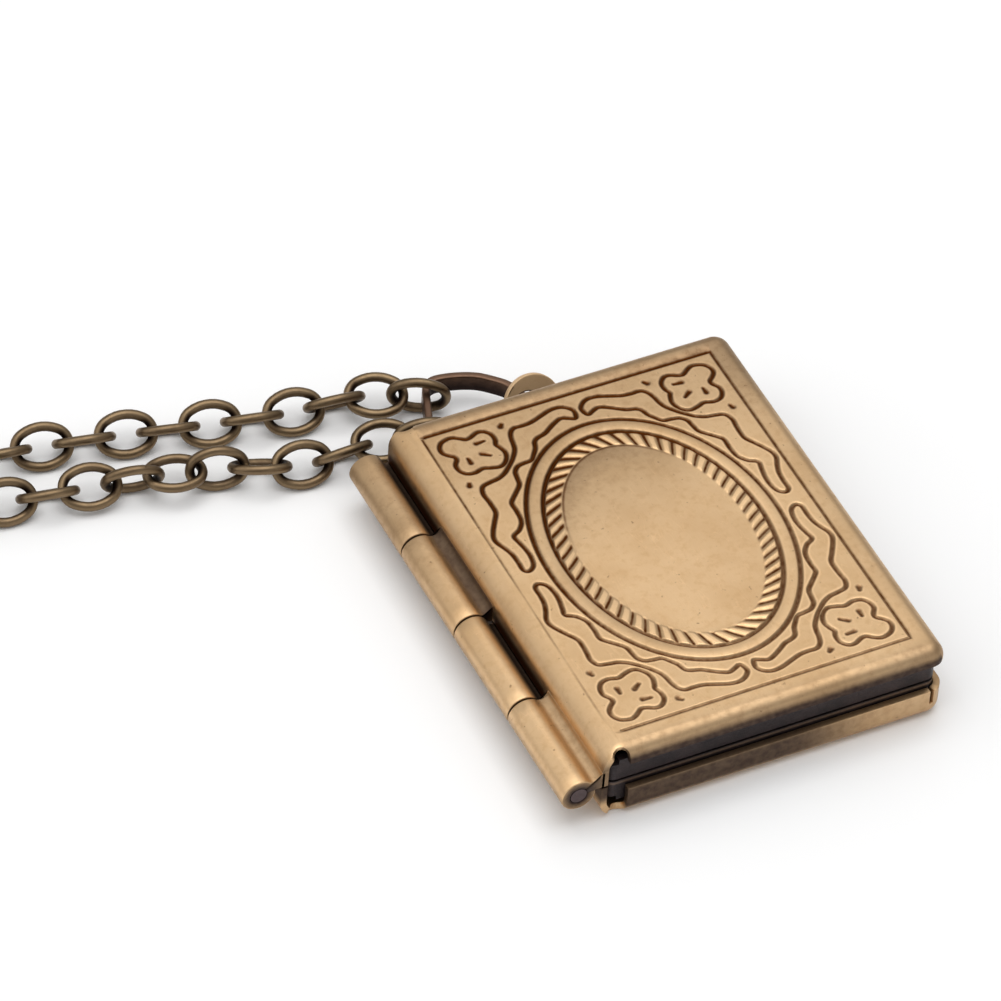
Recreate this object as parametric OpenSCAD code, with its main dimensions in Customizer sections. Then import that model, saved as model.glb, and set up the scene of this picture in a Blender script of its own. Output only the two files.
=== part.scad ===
// Book-shaped locket on a cable chain, lying closed on a table with its engraved front up.
// Millimetres. The origin is on the table under the middle of the back cover, +Z is up,
// +Y runs along the spine to the chain end, and the hinge is on the -X side.

/* [Covers] */
// Width of a cover, from the spine wall to the fore-edge
cover_w = 19.8; // [18.8:0.1:20.6]
// Length of a cover along the spine
cover_h = 26; // [25.6:0.1:27]
// Thickness of the closed locket
closed_t = 4.7; // [4.6:0.1:5.2]
// Thickness of the sheet metal
sheet_t = 0.35; // [0.3:0.01:0.4]
// Outer radius of the rolled edge
edge_r = 0.8; // [0.6:0.05:0.85]
// Outer radius of the rolled edge beside the spine
spine_r = 1.2; // [1:0.05:1.3]
// Height of the front cover's lip
lip_h = 0.95; // [0.9:0.05:1.2]
// Height of the back cover's walls
wall_h = 1.9; // [1.6:0.05:2]

/* [Engraving] */
// Width of an engraved line
line_w = 0.22; // [0.15:0.01:0.3]
// Depth of an engraved line
line_d = 0.1; // [0.05:0.01:0.15]
// Height of the raised rope border
rope_rise = 0.1; // [0.05:0.01:0.15]

/* [Hinge] */
// Outer diameter of the barrel
barrel_d = 1.9; // [1.7:0.05:2]
// Diameter of the pin
pin_d = 0.9; // [0.8:0.05:1]
// Radial play between pin and knuckle
pin_play = 0.04; // [0.02:0.01:0.08]
// Length of the whole barrel
barrel_len = 25.6; // [25:0.1:25.6]
// Gap between two knuckles
knuckle_gap = 0.12; // [0.1:0.01:0.2]

/* [Ring and eye] */
// Thickness of the ring's flat band
band_t = 0.42; // [0.4:0.01:0.46]
// Height of the ring's flat band
band_h = 1.06; // [1:0.02:1.14]
// Diameter of the eye's hole
eye_hole_d = 1.8; // [1.7:0.05:1.8]
// Outer diameter of the eye
eye_d = 3.25; // [3.1:0.05:3.3]

/* [Chain] */
// Length of an oval link, outside; its width is 0.84 less
link_l = 3.5; // [3.48:0.01:3.54]
// Diameter of the link's wire
link_wire = 0.53; // [0.5:0.01:0.54]
// Distance between two links' middles, before it is fitted to the loop
pitch_goal = 2.28; // [2.2:0.01:2.28]
// Radius of the loop's round end
loop_r = 38; // [35:1:42]

/* [Hidden] */
$fn = 64;
eps = 0.01;

gold = [0.76, 0.62, 0.42];
dark_brass = [0.42, 0.33, 0.22];
page_brown = [0.2, 0.15, 0.15];

half_w = cover_w / 2;
half_h = cover_h / 2;
corner_r = edge_r + 0.1;
axis_x = -half_w - 1.3;
axis_z = closed_t / 2;
mating_gap = 0.07;
front_low = axis_z + mating_gap;
back_high = axis_z - mating_gap;
spine_end = 0.2;
notch_r = 0.5;

// One rolled rim: the sheet lies at z = 0 and its wall rises to h with its outer face at r = reach.
module rim_section(reach, h, f) {
    difference() {
        union() {
            square([reach - f + eps, h]);
            translate([0, f]) square([reach, h - f]);
            translate([reach - f, f]) circle(f);
        }
        translate([-1, f]) square([reach - sheet_t + 1, h]);
        translate([-1, sheet_t]) square([1 + reach - f, h]);
        translate([reach - f, f]) circle(f - sheet_t);
        translate([-2, -1]) square([2, h + 2]);
    }
}

// A rim of the given length along Y, with its wall towards +X
module straight_rim(length, reach, h, f) {
    rotate([90, 0, 0]) linear_extrude(length, center = true) rim_section(reach, h, f);
}

// A cover as a tray that opens upwards: three sides share one rim and the spine side has its own
module tray(h, h_spine) {
    inner_w = half_w - corner_r;
    inner_h = half_h - corner_r;
    run = cover_w - corner_r - spine_r;
    translate([-half_w + spine_r, -inner_h, 0]) cube([run, 2 * inner_h, sheet_t]);
    translate([inner_w, 0, 0]) straight_rim(2 * inner_h, corner_r, h, edge_r);
    for (side = [-1, 1]) {
        translate([(inner_w - half_w + spine_r) / 2, side * inner_h, 0])
            rotate([0, 0, side * 90]) straight_rim(run, corner_r, h, edge_r);
        translate([inner_w, side * inner_h, 0])
            rotate_extrude(angle = 90, start = side < 0 ? -90 : 0) rim_section(corner_r, h, edge_r);
    }
    translate([-half_w + spine_r, 0, 0])
        mirror([1, 0, 0]) straight_rim(cover_h - 2 * spine_end, spine_r, h_spine, spine_r);
}

// The relief notches where the end rims meet the spine wall
module spine_notches(z, h) {
    for (side = [-1, 1])
        translate([-half_w + spine_r - notch_r / 2, side * (half_h - 0.05), z]) cylinder(r = notch_r, h = h);
}

// Knuckle i of four, counted from the chain end, as a solid barrel with its web to the spine wall
module knuckle(i, web_z0, web_z1) {
    step = barrel_len / 4;
    y1 = barrel_len / 2 - i * step - (i > 0 ? knuckle_gap / 2 : 0);
    y0 = barrel_len / 2 - (i + 1) * step + (i < 3 ? knuckle_gap / 2 : 0);
    translate([axis_x, y0, axis_z]) rotate([-90, 0, 0]) cylinder(d = barrel_d, h = y1 - y0);
    translate([axis_x, y0, web_z0]) cube([-half_w + sheet_t - axis_x, y1 - y0, web_z1 - web_z0]);
}

module pin_bore() {
    translate([axis_x, -half_h - 1, axis_z]) rotate([-90, 0, 0])
        cylinder(d = pin_d + 2 * pin_play, h = cover_h + 2);
}

// An oval of four arcs with half-axes a along X and b along Y; end_r is the radius of its ends
module oval(a, b, end_r) {
    c = b - end_r;
    side_r = (c * c + a * a - end_r * end_r) / (2 * (a - end_r));
    join_y = c + end_r * c / (side_r - end_r);
    intersection() {
        translate([-(side_r - a), 0]) circle(side_r, $fn = 180);
        translate([side_r - a, 0]) circle(side_r, $fn = 180);
        square([2 * a, 2 * join_y], center = true);
    }
    for (side = [-1, 1]) translate([0, side * c]) circle(end_r, $fn = 120);
}

module oval_band(a, b, end_r, w) {
    difference() {
        oval(a + w / 2, b + w / 2, end_r + w / 2);
        oval(a - w / 2, b - w / 2, end_r - w / 2);
    }
}

// Engraved frame, ring lines and rope border; the finer scrolls are too fine to be solids
frame_w = 16.9;
frame_h = 23;
ring_a = 6.6;
ring_b = 9.1;
ring_end_r = 5.6;
band_gap = 0.85;
rope_w = 1.05;
rope_a = ring_a - band_gap - 0.1 - rope_w / 2;

module engraved_lines() {
    translate([0, 0, closed_t - line_d]) linear_extrude(1) {
        difference() {
            square([frame_w + line_w, frame_h + line_w], center = true);
            square([frame_w - line_w, frame_h - line_w], center = true);
        }
        oval_band(ring_a, ring_b, ring_end_r, line_w);
        oval_band(ring_a - band_gap, ring_b - band_gap, ring_end_r - band_gap, line_w);
    }
}

module rope_border() {
    inset = ring_a - rope_a;
    translate([0, 0, closed_t - sheet_t / 2]) linear_extrude(sheet_t / 2 + rope_rise)
        oval_band(rope_a, ring_b - inset, ring_end_r - inset, rope_w);
}

module front_cover() {
    color(gold) difference() {
        union() {
            translate([0, 0, closed_t]) mirror([0, 0, 1]) tray(lip_h, closed_t - front_low);
            for (i = [1, 3]) knuckle(i, front_low, front_low + 0.55);
            rope_border();
        }
        engraved_lines();
        spine_notches(closed_t - lip_h - 1, lip_h + 2);
        pin_bore();
    }
}

// The slit where the back cover's end wall meets its fore-edge wall
module corner_slits() {
    for (side = [-1, 1])
        translate([half_w - corner_r, side * half_h - corner_r, edge_r + 0.1]) cube([0.25, 2 * corner_r, wall_h]);
}

// The eye is a round tab on a tongue of the floor sheet, bent up so that the ring passes through it
eye_x = -0.45;
eye_y = 14.64;
eye_z = 1.46;
eye_lean = 60;
hole_across = -0.35;
hole_up = -0.15;
tongue_w = 2.4;

module eye_outline() {
    translate([eye_x, eye_y, eye_z]) rotate([eye_lean, 0, 0])
        translate([0, 0, -sheet_t / 2]) cylinder(d = eye_d, h = sheet_t);
}

module ring_eye() {
    foot_y = eye_y - (eye_z - sheet_t / 2) / tan(eye_lean);
    difference() {
        union() {
            eye_outline();
            translate([eye_x - tongue_w / 2, half_h - edge_r - eps, 0])
                cube([tongue_w, foot_y - half_h + edge_r, sheet_t]);
        }
        translate([eye_x, eye_y, eye_z]) rotate([eye_lean, 0, 0])
            translate([hole_across, hole_up, -1]) cylinder(d = eye_hole_d, h = 2);
        translate([eye_x - 3, half_h, -3]) cube([6, 4, 3]);
    }
}

module back_cover() {
    color(gold) difference() {
        union() {
            tray(wall_h, back_high);
            for (i = [0, 2]) knuckle(i, back_high - 0.55, back_high);
            ring_eye();
        }
        corner_slits();
        spine_notches(-1, wall_h + 2);
        pin_bore();
    }
}

module rounded_plate(w, h, r, t) {
    linear_extrude(t) {
        square([w - 2 * r, h], center = true);
        square([w, h - 2 * r], center = true);
        for (sx = [-1, 1], sy = [-1, 1]) translate([sx * (w / 2 - r), sy * (h / 2 - r)]) circle(r);
    }
}

// A shallow picture frame that opens to the cover; its face with the window is at the mating plane
frame_gap = 0.06;
frame_wall = 0.4;
window_w = 13.4;
window_h = 19.4;
module page_frame() {
    outer_w = cover_w - 2 * sheet_t - 2 * frame_gap;
    outer_h = cover_h - 2 * sheet_t - 2 * frame_gap;
    depth = back_high - sheet_t - frame_gap;
    difference() {
        rounded_plate(outer_w, outer_h, 0.5, depth);
        translate([0, 0, -1])
            rounded_plate(outer_w - 2 * frame_wall, outer_h - 2 * frame_wall, 0.3, depth - frame_wall + 1);
        rounded_plate(window_w, window_h, 1.2, depth + 1);
        translate([0, 0, -eps]) frame_rebate(outer_w, outer_h);
        translate([-outer_w / 2 - 1, -outer_h, -eps]) cube([1 + 0.6, 2 * outer_h, 0.8]);
    }
}

// Room for the rolled edges of the cover round the foot of a page frame
module frame_rebate(outer_w, outer_h) {
    difference() {
        rounded_plate(outer_w + 2, outer_h + 2, 0.5, 0.5);
        rounded_plate(outer_w - 1.2, outer_h - 1.2, 0.4, 0.5);
    }
}

module back_page_frame() {
    color(page_brown) translate([0, 0, sheet_t + frame_gap]) page_frame();
}

module front_page_frame() {
    color(page_brown) translate([0, 0, closed_t - sheet_t - frame_gap]) mirror([0, 0, 1]) page_frame();
}

module hinge_pin() {
    color(dark_brass) translate([axis_x, -barrel_len / 2, axis_z]) rotate([-90, 0, 0])
        cylinder(d = pin_d, h = barrel_len);
}

// The ring is a flat band on edge. It hangs in the eye and rests on the wire of the chain's first
// links. Its middle line in plan, clockwise from the far left corner: columns x, y
band_line = [[-5.42, 17.45], [-5.15, 17.86], [-4.72, 18.03], [-4.2, 18], [-3.58, 17.86], [-2.97, 17.65],
             [-2.35, 17.33], [-1.74, 16.8], [-1.2, 16.2], [-0.9, 15.5], [-0.76, 14.8], [-0.82, 13.88],
             [-1.46, 13.62], [-2.3, 13.55], [-3.1, 13.48], [-3.95, 13.48], [-4.8, 13.53], [-5.6, 13.68],
             [-6.22, 14.02], [-6.43, 14.6], [-6.25, 15.3], [-5.97, 16.02], [-5.7, 16.75]];
band_middle_z = 1.33;

function closed(p, i) = p[(i + len(p)) % len(p)];
band_points = [for (i = [0 : len(band_line) - 1], k = [0 : 2])
    between(closed(band_line, i - 1), band_line[i], closed(band_line, i + 1), closed(band_line, i + 2), k / 3)];
function left_of(d) = [-d[1], d[0]] / norm(d);
function band_side(d) = [for (i = [0 : len(band_points) - 1])
    band_points[i] + d * left_of(closed(band_points, i + 1) - closed(band_points, i - 1))];

module bail_ring() {
    color(dark_brass) translate([0, 0, band_middle_z - band_h / 2]) linear_extrude(band_h) difference() {
        polygon(band_side(band_t / 2));
        polygon(band_side(-band_t / 2));
    }
}

// An oval link of four torus arcs, its length along X and its width along Y. The end arcs turn 120
// degrees and the side arcs 60, and the radii differ by arc_step, so the four meet in plane circles.
arc_step = 1.142;
link_a = (link_l - link_wire) / 2;
link_end_r = link_a - arc_step / 2;
link_side_r = link_end_r + arc_step;
link_side_c = arc_step * cos(30);
link_b = link_side_r - link_side_c;

module wire_arc(r, from, sweep) {
    rotate_extrude(angle = sweep, start = from, $fn = 48) translate([r, 0]) circle(d = link_wire, $fn = 24);
}

module oval_link() {
    translate([arc_step / 2, 0, 0]) wire_arc(link_end_r, -60, 120);
    translate([-arc_step / 2, 0, 0]) wire_arc(link_end_r, 120, 120);
    translate([0, -link_side_c, 0]) wire_arc(link_side_r, 60, 60);
    translate([0, link_side_c, 0]) wire_arc(link_side_r, 240, 60);
}

// Where the two strands lie near the locket, from the middle of the link in the ring outwards:
// columns x, y
upper_near = [[-5.755, 17.622], [-7.834, 18.545], [-10.047, 19.073], [-12.309, 19.317], [-17.2, 20.3], [-21.8, 21.35],
              [-26.3, 22.2], [-31, 22.8], [-36, 23]];
lower_near = [[-6.766, 14.811], [-9.002, 15.233], [-11.272, 15.371], [-13.543, 15.518], [-17.9, 16.75], [-22.4, 17.8],
              [-27, 18.7], [-31.5, 19.3], [-36, 19.5]];

// A smooth curve through points, with n steps for each stretch
function between(p0, p1, p2, p3, t) =
    0.5 * (2 * p1 + (p2 - p0) * t + (2 * p0 - 5 * p1 + 4 * p2 - p3) * t * t
           + (3 * p1 - p0 - 3 * p2 + p3) * t * t * t);
function at_end(p, i) = i < 0 ? 2 * p[0] - p[1] : i >= len(p) ? 2 * p[len(p) - 1] - p[len(p) - 2] : p[i];
function smooth(p, n = 6) =
    [for (i = [0 : len(p) - 2], k = [0 : n - 1])
        between(at_end(p, i - 1), p[i], p[i + 1], at_end(p, i + 2), k / n)];

// The hidden loop, mirror-like about its own axis: two runs part, and a round end joins them
near_x = -36;
loop_y = 21.25;
strand_gap = 3.5;
part_r = 30;
part_angle = 22;
clasp_half_run = 9;
run_down = (clasp_half_run + loop_r * cos(part_angle) - part_r * (1 - cos(part_angle)) - strand_gap / 2)
    / sin(part_angle);
loop_x = near_x - part_r * sin(part_angle) - run_down * cos(part_angle) - loop_r * sin(part_angle);
part_start = [near_x, strand_gap / 2];

function arc(c, r, from, to, n) = [for (i = [0 : n - 1]) c + r * [cos(from + (to - from) * i / n),
                                                                sin(from + (to - from) * i / n)]];

// Half of the loop, from the near strands to the middle of the clasp, on the +Y side of the loop's axis
half_loop = concat(
    arc(part_start + [0, part_r], part_r, -90, -90 - part_angle, 8),
    arc([loop_x, clasp_half_run], loop_r, 90 - part_angle, 180, 24),
    [[loop_x - loop_r, clasp_half_run], [loop_x - loop_r, 0]]);
function mirrored(p, s) = [for (q = p) [q[0], loop_y + s * q[1]]];
function reversed(p) = [for (i = [len(p) - 1 : -1 : 0]) p[i]];

route = concat(smooth(upper_near), mirrored(half_loop, 1), reversed(mirrored(half_loop, -1)),
               reversed(smooth(lower_near)));

// Distance along the route at each point, by halves so that the list stays shallow
function sums(d, i = 0, s = 0) = [for (k = i, t = s; k <= len(d); t = t + (k < len(d) ? d[k] : 0), k = k + 1) t];
steps = [for (i = [0 : len(route) - 2]) norm(route[i + 1] - route[i])];
marks = sums(steps);
route_len = marks[len(marks) - 1];
by_x = [for (i = [0 : len(route) - 1]) [marks[i], route[i][0]]];
by_y = [for (i = [0 : len(route) - 1]) [marks[i], route[i][1]]];
function at(s) = [lookup(s, by_x), lookup(s, by_y)];

link_count = round(route_len / pitch_goal);
pitch = route_len / link_count;
clasp_links = 5;
upper_count = floor((link_count + 1 - clasp_links) / 2);
lower_count = link_count + 1 - clasp_links - upper_count;

// Links lie rolled to one side and the other, and the lower strand has a twist near the locket.
// Columns, from the ring outwards: roll, turn off the strand's own direction, lift off the table
roll = 45;
upper_lie = [[-82.8, -2.1, 0.011], [25, -3.2, 0.232], [-51.8, 2.2, 0.035], [43, 1.8, -0.001]];
lower_lie = [[-81.5, -0.4, 0.011], [22.5, -2.3, 0.232], [-51, 3.8, 0.03], [44, 4.3, -0.001], [-35, -4, 0.12],
             [-106, 0, 0], [-178, 0, 0.26], [-250, 0, 0], [34, 0, 0.1]];
function lie_of(table, i) = i < len(table) ? table[i] : [(i - len(table)) % 2 == 0 ? -roll : roll, 0, 0];
rest_z = link_wire / 2 + link_b * sin(roll) + 0.02;
function height_of(a) = max(rest_z, link_wire / 2 + link_b * abs(sin(a)) + 0.01);

module place_link(s, ahead, lie) {
    p = at(s);
    d = (at(s + pitch / 2) - at(s - pitch / 2)) * ahead;
    translate([p[0], p[1], height_of(lie[0]) + lie[2]]) rotate([0, 0, atan2(d[1], d[0]) + lie[1]])
        rotate([lie[0], 0, 0]) oval_link();
}

module chain_upper() {
    color(dark_brass) for (i = [0 : upper_count - 1]) place_link(i * pitch, -1, lie_of(upper_lie, i));
}

module chain_lower() {
    color(dark_brass) for (i = [0 : lower_count - 1])
        place_link(route_len - i * pitch, 1, lie_of(lower_lie, i));
}

// A barrel clasp between the strands' last links, with an eye for each
clasp_d = 2.1;
clasp_eye_r = 0.92;
clasp_eye_wire = 0.56;

module clasp_eye(x, a) {
    translate([x, 0, 0]) rotate([a, 0, 0])
        rotate_extrude($fn = 48) translate([clasp_eye_r, 0]) circle(d = clasp_eye_wire, $fn = 24);
}

module clasp() {
    s0 = (upper_count - 1) * pitch;
    s1 = route_len - (lower_count - 1) * pitch;
    mid = at((s0 + s1) / 2);
    d = at(s1) - at(s0);
    eye_at = (s1 - s0) / 2 - link_a + (link_wire + clasp_eye_wire) / 2 + 0.12 - clasp_eye_r;
    body_half = eye_at - clasp_eye_r - clasp_eye_wire / 2 + 0.35;
    color(dark_brass) translate([mid[0], mid[1], clasp_d / 2 + 0.01]) rotate([0, 0, atan2(d[1], d[0])]) {
        rotate([0, 90, 0]) rotate_extrude() polygon([
            [0, -body_half], [clasp_d / 2 - 0.5, -body_half], [clasp_d / 2, 0.5 - body_half],
            [clasp_d / 2, body_half - 0.5], [clasp_d / 2 - 0.5, body_half], [0, body_half]]);
        clasp_eye(-eye_at, lie_of(upper_lie, upper_count - 1)[0]);
        clasp_eye(eye_at, -lie_of(lower_lie, lower_count - 1)[0]);
    }
}

front_cover();
back_cover();
front_page_frame();
back_page_frame();
hinge_pin();
bail_ring();
chain_upper();
chain_lower();
clasp();
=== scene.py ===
"""A book-shaped brass locket with an engraved cover, lying closed on a table beside its cable chain.

Shapes are worked out in millimetres in the part's own frame: the origin is on the table under the
back cover, +Z is up, +Y runs along the spine towards the ring, and the hinge is on the -X side.
"""
import math

import bmesh
import bpy
import numpy as np
from mathutils import Matrix, Vector


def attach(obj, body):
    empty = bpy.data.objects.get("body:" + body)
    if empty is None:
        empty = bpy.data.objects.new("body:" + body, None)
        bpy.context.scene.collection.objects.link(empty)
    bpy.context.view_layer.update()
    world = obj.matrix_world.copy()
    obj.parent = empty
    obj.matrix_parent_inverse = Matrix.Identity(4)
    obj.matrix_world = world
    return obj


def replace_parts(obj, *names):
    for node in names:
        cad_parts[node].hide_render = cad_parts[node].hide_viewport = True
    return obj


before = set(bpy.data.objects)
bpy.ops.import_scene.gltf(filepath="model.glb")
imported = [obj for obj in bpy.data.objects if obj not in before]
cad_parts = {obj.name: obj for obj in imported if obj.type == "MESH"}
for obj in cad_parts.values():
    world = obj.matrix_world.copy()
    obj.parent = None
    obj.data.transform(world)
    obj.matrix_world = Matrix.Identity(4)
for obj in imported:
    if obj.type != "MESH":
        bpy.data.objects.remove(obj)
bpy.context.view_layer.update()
scene = bpy.context.scene
MM = 0.001

# Measures of the covers, as in the part's source
HALF_W, HALF_H, THICK, SHEET = 9.9, 13.0, 4.7, 0.35
EDGE_R, SPINE_R, CORE_R = 0.8, 1.2, 0.9
CORE_X, CORE_Y, SPINE_X = HALF_W - CORE_R, HALF_H - CORE_R, -HALF_W + SPINE_R
SPINE_Y = HALF_H - 0.2
NOTCH_X, NOTCH_Y, NOTCH_R = -8.95, 12.95, 0.5
AXIS_X, AXIS_Z, BARREL_R, BORE_R = -11.2, 2.35, 0.95, 0.49
FRONT_LOW, BACK_HIGH, WALL_H = 2.42, 2.28, 1.9
BARREL_HALF, KNUCKLE_GAP = 12.8, 0.12

# The engraved frame line, and the point about which the four corners mirror one another
LINE_LEFT, LINE_RIGHT, LINE_TOP, LINE_BOTTOM = SPINE_X, 8.41, 11.56, -11.5
MIDDLE_X, MIDDLE_Y = -0.06, 0.05
# The engraved oval ring: its middle, the half axes of its outer groove and the width of its band
OVAL_X, OVAL_Y, RING_A, RING_B, RING_BAND = -0.155, 0.04, 6.575, 9.129, 0.9
# The rope inside the ring: its strands, and its outer edge, width and middle measured inwards from
# the outer groove, which are 1.03 times as far along Y
ROPE_STRANDS, ROPE_EDGE, ROPE_WIDTH, ROPE_MIDDLE, LONG_SHARE = 53, 0.94, 0.94, 1.5, 1.03


def step(low, high, x):
    """Smooth step: 0 below low, 1 above high, and 3t^2 - 2t^3 between."""
    t = np.clip((x - low) / (high - low), 0, 1)
    return t * t * (3 - 2 * t)


def unit(angle):
    """The unit vectors (cosine, sine) of angles in radians."""
    return np.stack([np.cos(angle), np.sin(angle)], -1)


def rotated(a, b, angle):
    """The coordinates a and b turned by an angle in radians, from a's axis towards b's."""
    c, s = math.cos(angle), math.sin(angle)
    return a * c - b * s, a * s + b * c


def length_along(path):
    """The length of a path in plan from its start to each of its points."""
    return np.concatenate([[0], np.cumsum(np.hypot(*np.diff(path, axis=0).T))])


# Making meshes

def grid_faces(rows, columns, wrap_rows=False, wrap_columns=False):
    """Quads over a rows x columns grid of points numbered row by row, closed round where asked."""
    i = np.arange(rows if wrap_rows else rows - 1)
    j = np.arange(columns if wrap_columns else columns - 1)
    i, j = np.meshgrid(i, j, indexing="ij")
    i2, j2 = (i + 1) % rows, (j + 1) % columns
    quads = [i * columns + j, i2 * columns + j, i2 * columns + j2, i * columns + j2]
    return np.stack(quads, -1).reshape(-1, 4)


def make_piece(name, points, faces, finish, body, marks, flip=False, weld=2e-6):
    """A mesh object from points in millimetres and quads, with the marks as attributes of its
    points; doubles closer than weld metres are merged."""
    points = np.asarray(points, float).reshape(-1, 3)
    faces = np.asarray(faces)[:, ::-1] if flip else np.asarray(faces)
    mesh = bpy.data.meshes.new(name)
    mesh.from_pydata((points * MM).tolist(), [], faces.tolist())
    for key, values in marks.items():
        layer = mesh.attributes.new(key, "FLOAT", "POINT")
        layer.data.foreach_set("value", np.broadcast_to(values, (len(points),)).astype(np.float32))
    if weld:
        bm = bmesh.new()
        bm.from_mesh(mesh)
        bmesh.ops.remove_doubles(bm, verts=bm.verts, dist=weld)
        bmesh.ops.dissolve_degenerate(bm, edges=bm.edges, dist=weld / 2)
        bm.to_mesh(mesh)
        bm.free()
    mesh.validate()
    mesh.polygons.foreach_set("use_smooth", np.ones(len(mesh.polygons), bool))
    mesh.materials.append(finish)
    thing = bpy.data.objects.new(name, mesh)
    scene.collection.objects.link(thing)
    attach(thing, body)
    return thing


def joined(parts):
    """Several (points, faces, marks) meshes as one, their faces renumbered and their marks laid end
    to end, with 0 where a part lacks a mark."""
    names = sorted({key for _, _, m in parts for key in m})
    points, faces, marks, start = [], [], {key: [] for key in names}, 0
    for p, f, m in parts:
        p = np.asarray(p, float).reshape(-1, 3)
        points.append(p)
        faces.append(f + start)
        for key in names:
            value = np.asarray(m.get(key, 0.0))
            marks[key].append(np.broadcast_to(value.ravel() if value.ndim else value, (len(p),)))
        start += len(p)
    marks = {key: np.concatenate(values) for key, values in marks.items()}
    return np.concatenate(points), np.concatenate(faces), marks


# Finishes

class Nodes:
    """A short way to write a material's nodes."""

    def __init__(self, name):
        self.material = bpy.data.materials.new(name)
        self.material.use_nodes = True
        self.tree = self.material.node_tree
        self.shader = self.tree.nodes["Principled BSDF"]

    def add(self, kind, **settings):
        node = self.tree.nodes.new(kind)
        for key, value in settings.items():
            setattr(node, key, value)
        return node

    def put(self, value, socket):
        if isinstance(value, bpy.types.NodeSocket):
            self.tree.links.new(value, socket)
        elif value is not None:
            socket.default_value = value

    def math(self, operation, a, b=None):
        node = self.add("ShaderNodeMath", operation=operation)
        for socket, value in zip(node.inputs, (a, b)):
            self.put(value, socket)
        return node.outputs[0]

    def clamp(self, x):
        return self.math("MINIMUM", self.math("MAXIMUM", x, 0.0), 1.0)

    def ramp(self, x, low, high, out_low=0.0, out_high=1.0):
        """x from low to high becomes out_low to out_high, clamped, on a smooth step."""
        node = self.add("ShaderNodeMapRange", interpolation_type="SMOOTHSTEP")
        for socket, value in zip(node.inputs, (x, low, high, out_low, out_high)):
            self.put(value, socket)
        return node.outputs[0]

    def blend(self, factor, a, b):
        node = self.add("ShaderNodeMix", data_type="RGBA")
        self.put(factor, node.inputs[0])
        self.put((*a, 1) if isinstance(a, tuple) else a, node.inputs[6])
        self.put((*b, 1) if isinstance(b, tuple) else b, node.inputs[7])
        return node.outputs[2]

    def place(self, stretch=(1, 1, 1), turn=(0, 0, 0)):
        """Object coordinates in millimetres, turned and stretched."""
        where = self.add("ShaderNodeTexCoord").outputs["Object"]
        node = self.add("ShaderNodeMapping")
        self.put(where, node.inputs["Vector"])
        node.inputs["Rotation"].default_value = turn
        node.inputs["Scale"].default_value = [1000 * s for s in stretch]
        return node.outputs[0]

    def noise(self, scale, detail, rough, stretch=(1, 1, 1), turn=(0, 0, 0)):
        node = self.add("ShaderNodeTexNoise")
        self.put(self.place(stretch, turn), node.inputs["Vector"])
        for key, value in (("Scale", scale), ("Detail", detail), ("Roughness", rough)):
            node.inputs[key].default_value = value
        return node.outputs["Fac"]

    def mark(self, name):
        return self.add("ShaderNodeAttribute", attribute_name=name).outputs["Fac"]

    def bump(self, height, strength, distance):
        node = self.add("ShaderNodeBump")
        node.inputs["Strength"].default_value = strength
        node.inputs["Distance"].default_value = distance
        self.put(height, node.inputs["Height"])
        self.put(node.outputs[0], self.shader.inputs["Normal"])


def brass(name, gold, brown, groove, tarnish, rough, spots=0.5, scratches=0.0, metal=1.0):
    """Old brass: gold and brown clouds, small dark pits, fine drawn streaks and hair scratches. The
    patina mark turns it to the groove colour: the brown in engraved lines, and painted shade in gaps
    and at the chain's link ends. The tarnish mark turns it to a dark dull colour, mostly painted shade
    on walls, in hollows and towards the ends. The wear mark turns it to a brighter tone, worn on edges
    and crests and a painted highlight along bends and rims. Ragged noise breaks up the edges of the
    marks."""
    n = Nodes(name)
    clouds = n.ramp(n.noise(0.22, 4, 0.6), 0.35, 0.7)
    fine = n.noise(2.4, 5, 0.6)
    ragged = n.math("SUBTRACT", fine, 0.5)
    colour = n.blend(n.math("MULTIPLY", clouds, 0.5), gold, brown)
    colour = n.blend(n.ramp(fine, 0.46, 0.74, 0.0, 0.45), colour, brown)
    pits = n.ramp(n.noise(3.1, 2, 0.5), 0.70, 0.78, 0.0, spots)
    colour = n.blend(pits, colour, groove)
    hair = n.noise(0.9, 2, 0.5, (1.3, 0.25, 1), (0, 0, 0.7))
    hair = n.ramp(n.math("ABSOLUTE", n.math("SUBTRACT", hair, 0.5)), 0.0, 0.006, scratches, 0.0)
    colour = n.blend(hair, colour, tuple(min(1, 1.25 * c) for c in gold))
    wear = n.mark("wear")
    colour = n.blend(n.math("MULTIPLY", wear, 0.7), colour, tuple(min(1, 1.22 * c) for c in gold))
    film_and_shade = n.mark("tarnish")
    film_and_shade = n.clamp(n.math("ADD", film_and_shade, n.math("MULTIPLY", ragged, n.ramp(film_and_shade, 0.0, 0.3, 0.0, 0.2))))
    colour = n.blend(film_and_shade, colour, tarnish)
    patina = n.mark("patina")
    torn = n.math("MULTIPLY", ragged, n.ramp(patina, 0.0, 0.4, 0.0, 0.5))
    patina = n.clamp(n.math("ADD", n.math("MULTIPLY", patina, 1.12), torn))
    colour = n.blend(patina, colour, groove)
    n.put(colour, n.shader.inputs["Base Color"])
    n.shader.inputs["Metallic"].default_value = metal
    lines = n.noise(1.0, 3, 0.6, (9, 0.35, 9), (0, 0, 0.5))
    roughness = n.math("ADD", n.ramp(fine, 0.3, 0.7, rough - 0.05, rough + 0.05),
                       n.math("MULTIPLY", n.math("SUBTRACT", lines, 0.5), 0.12))
    roughness = n.math("ADD", roughness, n.math("MULTIPLY", n.math("MAXIMUM", patina, film_and_shade), 0.18))
    n.put(roughness, n.shader.inputs["Roughness"])
    grain = n.math("MULTIPLY", n.noise(14, 3, 0.6), 0.02)
    n.bump(n.math("ADD", n.math("MULTIPLY", lines, 0.02), grain), 0.35, 0.0004)
    return n.material


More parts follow.
